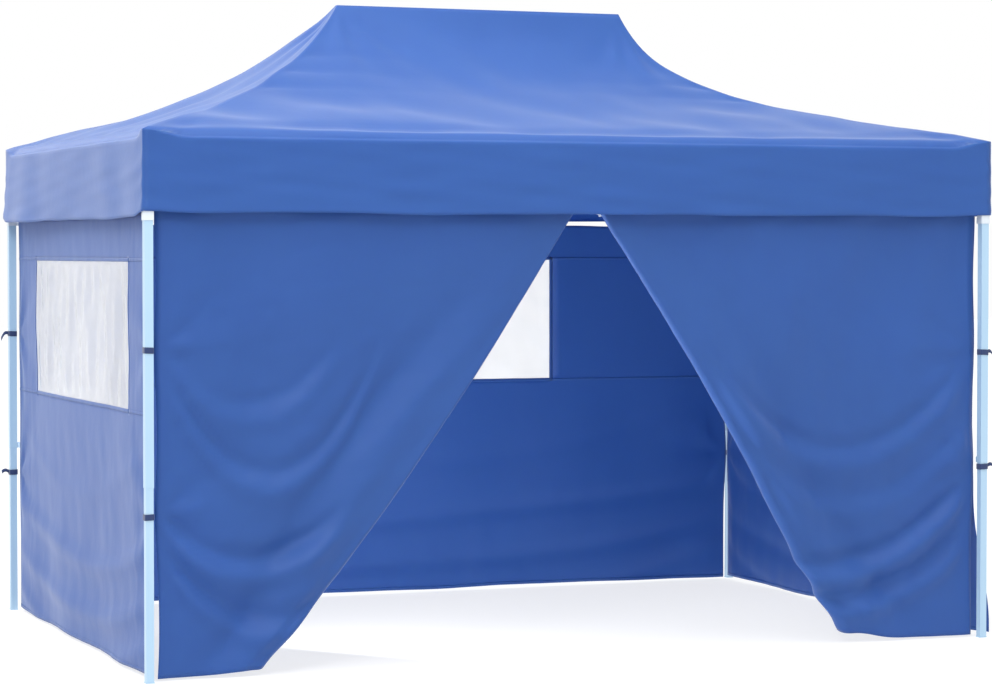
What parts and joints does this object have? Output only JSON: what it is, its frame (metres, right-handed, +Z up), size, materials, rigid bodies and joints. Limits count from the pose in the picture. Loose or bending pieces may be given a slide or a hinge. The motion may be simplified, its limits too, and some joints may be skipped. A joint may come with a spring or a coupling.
{
  "type": "pop-up gazebo",
  "caption": "Folding canopy shelter: scissor-truss steel frame on telescoping legs, hipped fabric roof with valance, three clear-window walls and a tied-back door wall.",
  "frame": {"origin": "on the floor under the middle of the gazebo's bounding box", "axes": "+X along the long side, -Y toward the door side, +Z up"},
  "size_m": [4.402, 2.984, 3.233],
  "materials": {
    "leg_tube": "satin powder coat, very pale blue white",
    "truss_tube": "satin powder coat, white",
    "fitting": "moulded nylon, pale grey",
    "button": "moulded acetal, dull red",
    "canopy_fabric": "coated polyester, blue",
    "wall_fabric": "coated polyester, blue"
  },
  "bodies": {
    "hub_left": {"upper_hub_left": "fitting", "canopy": "canopy_fabric"},
    "post_left": {"peak_post_left": "leg_tube"},
    "post_right": {"peak_post_right": "leg_tube"},
    "hub_right": {"upper_hub_right": "fitting"},
    "spine_up_1": {"spine_bar_up_1": "truss_tube"},
    "spine_down_1": {"spine_bar_down_1": "truss_tube"},
    "spine_up_2": {"spine_bar_up_2": "truss_tube"},
    "spine_down_2": {"spine_bar_down_2": "truss_tube"},
    "spine_up_3": {"spine_bar_up_3": "truss_tube"},
    "spine_down_3": {"spine_bar_down_3": "truss_tube"},
    "bracket_left_upper": {"spine_bracket_left_upper": "fitting"},
    "bracket_left_lower": {"spine_bracket_left_lower": "fitting"},
    "left_up_front": {"left_bar_up_front": "truss_tube"},
    "left_down_front": {"left_bar_down_front": "truss_tube"},
    "left_up_rear": {"left_bar_up_rear": "truss_tube"},
    "left_down_rear": {"left_bar_down_rear": "truss_tube"},
    "bracket_right_upper": {"spine_bracket_right_upper": "fitting"},
    "bracket_right_lower": {"spine_bracket_right_lower": "fitting"},
    "right_up_front": {"right_bar_up_front": "truss_tube"},
    "right_down_front": {"right_bar_down_front": "truss_tube"},
    "right_up_rear": {"right_bar_up_rear": "truss_tube"},
    "right_down_rear": {"right_bar_down_rear": "truss_tube"},
    "front_up_1": {"front_bar_up_1": "truss_tube"},
    "front_down_1": {"front_bar_down_1": "truss_tube"},
    "front_up_2": {"front_bar_up_2": "truss_tube"},
    "front_down_2": {"front_bar_down_2": "truss_tube"},
    "front_up_3": {"front_bar_up_3": "truss_tube"},
    "front_down_3": {"front_bar_down_3": "truss_tube"},
    "rear_up_1": {"rear_bar_up_1": "truss_tube"},
    "rear_down_1": {"rear_bar_down_1": "truss_tube"},
    "rear_up_2": {"rear_bar_up_2": "truss_tube"},
    "rear_down_2": {"rear_bar_down_2": "truss_tube"},
    "rear_up_3": {"rear_bar_up_3": "truss_tube"},
    "rear_down_3": {"rear_bar_down_3": "truss_tube"},
    "leg_front_left": {"outer_leg_front_left": "leg_tube", "door_flap_left": "wall_fabric"},
    "slider_front_left": {"slider_front_left": "fitting"},
    "foot_front_left": {"inner_leg_front_left": "leg_tube"},
    "height_button_front_left": {"height_button_front_left": "button"},
    "slider_button_front_left": {"slider_button_front_left": "button"},
    "leg_front_right": {"outer_leg_front_right": "leg_tube", "door_flap_right": "wall_fabric"},
    "slider_front_right": {"slider_front_right": "fitting"},
    "foot_front_right": {"inner_leg_front_right": "leg_tube"},
    "height_button_front_right": {"height_button_front_right": "button"},
    "slider_button_front_right": {"slider_button_front_right": "button"},
    "leg_rear_left": {"outer_leg_rear_left": "leg_tube", "wall_rear": "wall_fabric", "wall_left": "wall_fabric"},
    "slider_rear_left": {"slider_rear_left": "fitting"},
    "foot_rear_left": {"inner_leg_rear_left": "leg_tube"},
    "height_button_rear_left": {"height_button_rear_left": "button"},
    "slider_button_rear_left": {"slider_button_rear_left": "button"},
    "leg_rear_right": {"outer_leg_rear_right": "leg_tube", "wall_right": "wall_fabric"},
    "slider_rear_right": {"slider_rear_right": "fitting"},
    "foot_rear_right": {"inner_leg_rear_right": "leg_tube"},
    "height_button_rear_right": {"height_button_rear_right": "button"},
    "slider_button_rear_right": {"slider_button_rear_right": "button"}
  },
  "joints": [
    {"name": "fold", "type": "hinge", "parent": "hub_left", "child": "spine_up_1", "pos_m": [-0.709, 0, 2.465], "axis": [0, -1, 0], "range_deg": [0, 72.51], "deforming": ["canopy", "wall_rear", "wall_left", "wall_right", "door_flap_left", "door_flap_right"]},
    {"name": "spine_cross_1", "type": "hinge", "parent": "spine_up_1", "child": "spine_down_1", "pos_m": [-1.418, 0, 2.315], "axis": [0, -1, 0], "range_deg": [-151.02, 0]},
    {"name": "spine_upper_end_left", "type": "hinge", "parent": "spine_down_1", "child": "bracket_left_upper", "pos_m": [-2.127, 0, 2.465], "axis": [0, -1, 0], "range_deg": [0, 75.51]},
    {"name": "spine_lower_end_left", "type": "hinge", "parent": "spine_up_1", "child": "bracket_left_lower", "pos_m": [-2.127, 0, 2.165], "axis": [0, -1, 0], "range_deg": [-75.51, 0]},
    {"name": "spine_hub_left_down", "type": "hinge", "parent": "hub_left", "child": "spine_down_2", "pos_m": [-0.709, 0, 2.465], "axis": [0, -1, 0], "range_deg": [-75.51, 0]},
    {"name": "spine_cross_2", "type": "hinge", "parent": "spine_down_2", "child": "spine_up_2", "pos_m": [0, 0, 2.315], "axis": [0, -1, 0], "range_deg": [0, 151.02]},
    {"name": "spine_hub_right_up", "type": "hinge", "parent": "spine_up_2", "child": "hub_right", "pos_m": [0.709, 0, 2.465], "axis": [0, -1, 0], "range_deg": [-75.51, 0]},
    {"name": "spine_hub_right_down", "type": "hinge", "parent": "hub_right", "child": "spine_down_3", "pos_m": [0.709, 0, 2.465], "axis": [0, -1, 0], "range_deg": [-75.51, 0]},
    {"name": "spine_cross_3", "type": "hinge", "parent": "spine_down_3", "child": "spine_up_3", "pos_m": [1.418, 0, 2.315], "axis": [0, -1, 0], "range_deg": [0, 151.02]},
    {"name": "spine_lower_end_right", "type": "hinge", "parent": "spine_down_3", "child": "bracket_right_lower", "pos_m": [2.127, 0, 2.165], "axis": [0, -1, 0], "range_deg": [0, 75.51]},
    {"name": "spine_upper_end_right", "type": "hinge", "parent": "spine_up_3", "child": "bracket_right_upper", "pos_m": [2.127, 0, 2.465], "axis": [0, -1, 0], "range_deg": [-75.51, 0]},
    {"name": "post_slide_left", "type": "slide", "parent": "hub_left", "child": "post_left", "axis": [0, 0, 1], "range_m": [-0.68, 0]},
    {"name": "post_slide_right", "type": "slide", "parent": "hub_right", "child": "post_right", "axis": [0, 0, 1], "range_m": [-0.68, 0]},
    {"name": "left_front_hang", "type": "hinge", "parent": "bracket_left_upper", "child": "left_up_front", "pos_m": [-2.175, 0, 2.465], "axis": [1, 0, 0], "range_deg": [0, 75.51]},
    {"name": "left_front_cross", "type": "hinge", "parent": "left_up_front", "child": "left_down_front", "pos_m": [-2.175, -0.709, 2.315], "axis": [1, 0, 0], "range_deg": [-151.02, 0]},
    {"name": "left_front_leg_top", "type": "hinge", "parent": "left_down_front", "child": "leg_front_left", "pos_m": [-2.175, -1.418, 2.465], "axis": [1, 0, 0], "range_deg": [0, 75.51]},
    {"name": "left_front_slider", "type": "hinge", "parent": "left_up_front", "child": "slider_front_left", "pos_m": [-2.175, -1.418, 2.165], "axis": [1, 0, 0], "range_deg": [-75.51, 0]},
    {"name": "left_rear_hang", "type": "hinge", "parent": "bracket_left_upper", "child": "left_down_rear", "pos_m": [-2.175, 0, 2.465], "axis": [-1, 0, 0], "range_deg": [0, 75.51]},
    {"name": "left_rear_cross", "type": "hinge", "parent": "left_down_rear", "child": "left_up_rear", "pos_m": [-2.175, 0.709, 2.315], "axis": [-1, 0, 0], "range_deg": [-151.02, 0]},
    {"name": "left_rear_leg_top", "type": "hinge", "parent": "left_up_rear", "child": "leg_rear_left", "pos_m": [-2.175, 1.418, 2.465], "axis": [-1, 0, 0], "range_deg": [0, 75.51]},
    {"name": "left_rear_slider", "type": "hinge", "parent": "left_down_rear", "child": "slider_rear_left", "pos_m": [-2.175, 1.418, 2.165], "axis": [-1, 0, 0], "range_deg": [-75.51, 0]},
    {"name": "right_front_hang", "type": "hinge", "parent": "bracket_right_upper", "child": "right_up_front", "pos_m": [2.175, 0, 2.465], "axis": [1, 0, 0], "range_deg": [0, 75.51]},
    {"name": "right_front_cross", "type": "hinge", "parent": "right_up_front", "child": "right_down_front", "pos_m": [2.175, -0.709, 2.315], "axis": [1, 0, 0], "range_deg": [-151.02, 0]},
    {"name": "right_front_leg_top", "type": "hinge", "parent": "right_down_front", "child": "leg_front_right", "pos_m": [2.175, -1.418, 2.465], "axis": [1, 0, 0], "range_deg": [0, 75.51]},
    {"name": "right_front_slider", "type": "hinge", "parent": "right_up_front", "child": "slider_front_right", "pos_m": [2.175, -1.418, 2.165], "axis": [1, 0, 0], "range_deg": [-75.51, 0]},
    {"name": "right_rear_hang", "type": "hinge", "parent": "bracket_right_upper", "child": "right_down_rear", "pos_m": [2.175, 0, 2.465], "axis": [-1, 0, 0], "range_deg": [0, 75.51]},
    {"name": "right_rear_cross", "type": "hinge", "parent": "right_down_rear", "child": "right_up_rear", "pos_m": [2.175, 0.709, 2.315], "axis": [-1, 0, 0], "range_deg": [-151.02, 0]},
    {"name": "right_rear_leg_top", "type": "hinge", "parent": "right_up_rear", "child": "leg_rear_right", "pos_m": [2.175, 1.418, 2.465], "axis": [-1, 0, 0], "range_deg": [0, 75.51]},
    {"name": "right_rear_slider", "type": "hinge", "parent": "right_down_rear", "child": "slider_rear_right", "pos_m": [2.175, 1.418, 2.165], "axis": [-1, 0, 0], "range_deg": [-75.51, 0]},
    {"name": "front_leg_top", "type": "hinge", "parent": "leg_front_left", "child": "front_down_1", "pos_m": [-2.127, -1.466, 2.465], "axis": [0, 1, 0], "range_deg": [0, 75.51]},
    {"name": "front_cross_1", "type": "hinge", "parent": "front_down_1", "child": "front_up_1", "pos_m": [-1.418, -1.466, 2.315], "axis": [0, 1, 0], "range_deg": [-151.02, 0]},
    {"name": "front_top_1", "type": "hinge", "parent": "front_up_1", "child": "front_down_2", "pos_m": [-0.709, -1.466, 2.465], "axis": [0, 1, 0], "range_deg": [0, 151.02]},
    {"name": "front_cross_2", "type": "hinge", "parent": "front_down_2", "child": "front_up_2", "pos_m": [0, -1.466, 2.315], "axis": [0, 1, 0], "range_deg": [-151.02, 0]},
    {"name": "front_top_2", "type": "hinge", "parent": "front_up_2", "child": "front_down_3", "pos_m": [0.709, -1.466, 2.465], "axis": [0, 1, 0], "range_deg": [0, 151.02]},
    {"name": "front_cross_3", "type": "hinge", "parent": "front_down_3", "child": "front_up_3", "pos_m": [1.418, -1.466, 2.315], "axis": [0, 1, 0], "range_deg": [-151.02, 0]},
    {"name": "rear_leg_top", "type": "hinge", "parent": "leg_rear_left", "child": "rear_down_1", "pos_m": [-2.127, 1.466, 2.465], "axis": [0, 1, 0], "range_deg": [0, 75.51]},
    {"name": "rear_cross_1", "type": "hinge", "parent": "rear_down_1", "child": "rear_up_1", "pos_m": [-1.418, 1.466, 2.315], "axis": [0, 1, 0], "range_deg": [-151.02, 0]},
    {"name": "rear_top_1", "type": "hinge", "parent": "rear_up_1", "child": "rear_down_2", "pos_m": [-0.709, 1.466, 2.465], "axis": [0, 1, 0], "range_deg": [0, 151.02]},
    {"name": "rear_cross_2", "type": "hinge", "parent": "rear_down_2", "child": "rear_up_2", "pos_m": [0, 1.466, 2.315], "axis": [0, 1, 0], "range_deg": [-151.02, 0]},
    {"name": "rear_top_2", "type": "hinge", "parent": "rear_up_2", "child": "rear_down_3", "pos_m": [0.709, 1.466, 2.465], "axis": [0, 1, 0], "range_deg": [0, 151.02]},
    {"name": "rear_cross_3", "type": "hinge", "parent": "rear_down_3", "child": "rear_up_3", "pos_m": [1.418, 1.466, 2.315], "axis": [0, 1, 0], "range_deg": [-151.02, 0]},
    {"name": "leg_height_front_left", "type": "slide", "parent": "leg_front_left", "child": "foot_front_left", "axis": [0, 0, 1], "range_m": [0, 0.85]},
    {"name": "height_button_press_front_left", "type": "slide", "parent": "leg_front_left", "child": "height_button_front_left", "axis": [0, -1, 0], "range_m": [0, 0.005], "stiffness_N_per_m": 500},
    {"name": "slider_button_press_front_left", "type": "slide", "parent": "slider_front_left", "child": "slider_button_front_left", "axis": [0, -1, 0], "range_m": [0, 0.005], "stiffness_N_per_m": 500},
    {"name": "leg_height_front_right", "type": "slide", "parent": "leg_front_right", "child": "foot_front_right", "axis": [0, 0, 1], "range_m": [0, 0.85]},
    {"name": "height_button_press_front_right", "type": "slide", "parent": "leg_front_right", "child": "height_button_front_right", "axis": [0, -1, 0], "range_m": [0, 0.005], "stiffness_N_per_m": 500},
    {"name": "slider_button_press_front_right", "type": "slide", "parent": "slider_front_right", "child": "slider_button_front_right", "axis": [0, -1, 0], "range_m": [0, 0.005], "stiffness_N_per_m": 500},
    {"name": "leg_height_rear_left", "type": "slide", "parent": "leg_rear_left", "child": "foot_rear_left", "axis": [0, 0, 1], "range_m": [0, 0.85]},
    {"name": "height_button_press_rear_left", "type": "slide", "parent": "leg_rear_left", "child": "height_button_rear_left", "axis": [-1, 0, 0], "range_m": [0, 0.005], "stiffness_N_per_m": 500},
    {"name": "slider_button_press_rear_left", "type": "slide", "parent": "slider_rear_left", "child": "slider_button_rear_left", "axis": [-1, 0, 0], "range_m": [0, 0.005], "stiffness_N_per_m": 500},
    {"name": "leg_height_rear_right", "type": "slide", "parent": "leg_rear_right", "child": "foot_rear_right", "axis": [0, 0, 1], "range_m": [0, 0.85]},
    {"name": "height_button_press_rear_right", "type": "slide", "parent": "leg_rear_right", "child": "height_button_rear_right", "axis": [1, 0, 0], "range_m": [0, 0.005], "stiffness_N_per_m": 500},
    {"name": "slider_button_press_rear_right", "type": "slide", "parent": "slider_rear_right", "child": "slider_button_rear_right", "axis": [1, 0, 0], "range_m": [0, 0.005], "stiffness_N_per_m": 500}
  ],
  "couplings": [
    {"joint": "spine_cross_1", "follows": "fold", "ratio": -2},
    {"joint": "spine_upper_end_left", "follows": "fold", "ratio": 1},
    {"joint": "spine_lower_end_left", "follows": "fold", "ratio": -1},
    {"joint": "spine_hub_left_down", "follows": "fold", "ratio": -1},
    {"joint": "spine_cross_2", "follows": "fold", "ratio": 2},
    {"joint": "spine_hub_right_up", "follows": "fold", "ratio": -1},
    {"joint": "spine_hub_right_down", "follows": "fold", "ratio": -1},
    {"joint": "spine_cross_3", "follows": "fold", "ratio": 2},
    {"joint": "spine_lower_end_right", "follows": "fold", "ratio": 1},
    {"joint": "spine_upper_end_right", "follows": "fold", "ratio": -1},
    {"joint": "post_slide_left", "follows": "fold", "m_per_rad": -0.49978},
    {"joint": "post_slide_right", "follows": "fold", "m_per_rad": -0.49978},
    {"joint": "left_front_hang", "follows": "fold", "ratio": 1},
    {"joint": "left_front_cross", "follows": "fold", "ratio": -2},
    {"joint": "left_front_leg_top", "follows": "fold", "ratio": 1},
    {"joint": "left_front_slider", "follows": "fold", "ratio": -1},
    {"joint": "left_rear_hang", "follows": "fold", "ratio": 1},
    {"joint": "left_rear_cross", "follows": "fold", "ratio": -2},
    {"joint": "left_rear_leg_top", "follows": "fold", "ratio": 1},
    {"joint": "left_rear_slider", "follows": "fold", "ratio": -1},
    {"joint": "right_front_hang", "follows": "fold", "ratio": 1},
    {"joint": "right_front_cross", "follows": "fold", "ratio": -2},
    {"joint": "right_front_leg_top", "follows": "fold", "ratio": 1},
    {"joint": "right_front_slider", "follows": "fold", "ratio": -1},
    {"joint": "right_rear_hang", "follows": "fold", "ratio": 1},
    {"joint": "right_rear_cross", "follows": "fold", "ratio": -2},
    {"joint": "right_rear_leg_top", "follows": "fold", "ratio": 1},
    {"joint": "right_rear_slider", "follows": "fold", "ratio": -1},
    {"joint": "front_leg_top", "follows": "fold", "ratio": 1},
    {"joint": "front_cross_1", "follows": "fold", "ratio": -2},
    {"joint": "front_top_1", "follows": "fold", "ratio": 2},
    {"joint": "front_cross_2", "follows": "fold", "ratio": -2},
    {"joint": "front_top_2", "follows": "fold", "ratio": 2},
    {"joint": "front_cross_3", "follows": "fold", "ratio": -2},
    {"joint": "rear_leg_top", "follows": "fold", "ratio": 1},
    {"joint": "rear_cross_1", "follows": "fold", "ratio": -2},
    {"joint": "rear_top_1", "follows": "fold", "ratio": 2},
    {"joint": "rear_cross_2", "follows": "fold", "ratio": -2},
    {"joint": "rear_top_2", "follows": "fold", "ratio": 2},
    {"joint": "rear_cross_3", "follows": "fold", "ratio": -2}
  ]
}
